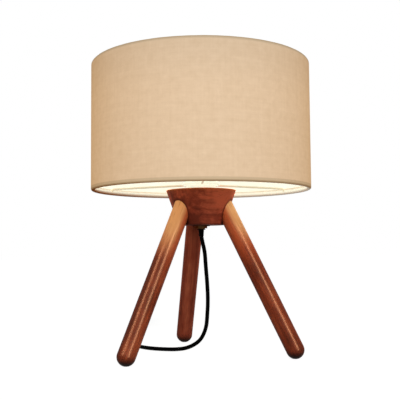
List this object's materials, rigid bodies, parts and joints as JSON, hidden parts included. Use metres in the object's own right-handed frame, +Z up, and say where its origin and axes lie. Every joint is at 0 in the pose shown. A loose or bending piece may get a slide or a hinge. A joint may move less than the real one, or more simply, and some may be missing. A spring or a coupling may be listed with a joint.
{
  "type": "tripod table lamp",
  "caption": "Table lamp with a drum fabric shade on a turned wooden hub and splayed dowel legs, a screw-in bulb, and a mains cord with an in-line rocker switch and plug.",
  "frame": {"origin": "on the surface the lamp stands on, under the shade's centre", "axes": "+Z up, -Y to the front; the put-away cord lies on the surface towards +Y"},
  "size_m": [0.3, 0.6286, 0.3955],
  "materials": {
    "hub_wood": "satin stain",
    "leg_wood": "gloss varnish",
    "plated_steel": "zinc plated",
    "bronzed_steel": "dark bronze",
    "brass": "turned",
    "holder_plastic": "moulded",
    "contact_ceramic": "unglazed",
    "shade_cloth": "fine slub weave",
    "shade_lining": "white film",
    "white_wire": "powder coated",
    "opal_plastic": "opal",
    "bulb_plastic": "moulded",
    "nickel": "nickel plated",
    "circuit_board": "coated",
    "black_cord": "soft sheath",
    "lead_white": "insulation",
    "black_plastic": "moulded",
    "black_gloss": "moulded"
  },
  "bodies": {
    "stand": {"leg_front_left": "leg_wood", "leg_front_right": "leg_wood", "leg_rear": "leg_wood", "leg_bolts": "plated_steel", "leg_inserts": "brass", "hub": "hub_wood", "threaded_tube": "plated_steel", "base_washer": "bronzed_steel", "base_nut": "brass", "top_washer": "plated_steel", "top_nut": "plated_steel", "holder_cap": "holder_plastic", "holder_skirt": "holder_plastic", "contact_block": "contact_ceramic", "holder_shell": "nickel", "centre_contact": "brass", "side_contact": "brass", "holder_terminals": "plated_steel", "cord_sleeve": "black_plastic", "cord_riser": "black_cord", "holder_leads": "lead_white", "switch_base": "black_plastic", "switch_cover": "black_plastic", "rocker_pin": "plated_steel", "switch_screws": "plated_steel", "switch_terminals": "brass", "switch_leads": "lead_white", "cord_drop": "black_cord", "cord_run": "black_cord", "cord_hank": "black_cord", "hank_tie": "black_plastic", "plug_body": "black_plastic", "plug_pins": "nickel", "plug_boot": "black_plastic", "cord_tail": "black_cord"},
    "ring_nut": {"ring_nut": "holder_plastic"},
    "shade": {"shade_fabric": "shade_cloth", "shade_liner": "shade_lining", "liner_seam": "shade_lining", "shade_top_ring": "white_wire", "shade_bottom_ring": "white_wire", "fitter_ring": "white_wire", "fitter_arms": "white_wire"},
    "bulb": {"bulb_contact": "nickel", "bulb_insulator": "black_gloss", "bulb_cap": "nickel", "bulb_housing": "bulb_plastic", "bulb_board": "circuit_board", "bulb_driver": "circuit_board", "bulb_globe": "opal_plastic"},
    "rocker": {"switch_rocker": "black_gloss", "rocker_contact": "brass"}
  },
  "joints": [
    {"name": "shade_turn", "type": "hinge", "parent": "stand", "child": "shade", "pos_m": [0, 0, 0.2314], "axis": [0, 0, 1], "continuous": true},
    {"name": "ring_nut_turn", "type": "hinge", "parent": "stand", "child": "ring_nut", "pos_m": [0, 0, 0.236], "axis": [0, 0, 1], "continuous": true},
    {"name": "bulb_out", "type": "slide", "parent": "stand", "child": "bulb", "axis": [0, 0, 1], "range_m": [0, 0.025]},
    {"name": "rocker_switch", "type": "hinge", "parent": "stand", "child": "rocker", "pos_m": [-0.10897, 0.20896, 0.011], "axis": [0.9987, 0.0506, 0], "range_deg": [-16, 0]}
  ]
}
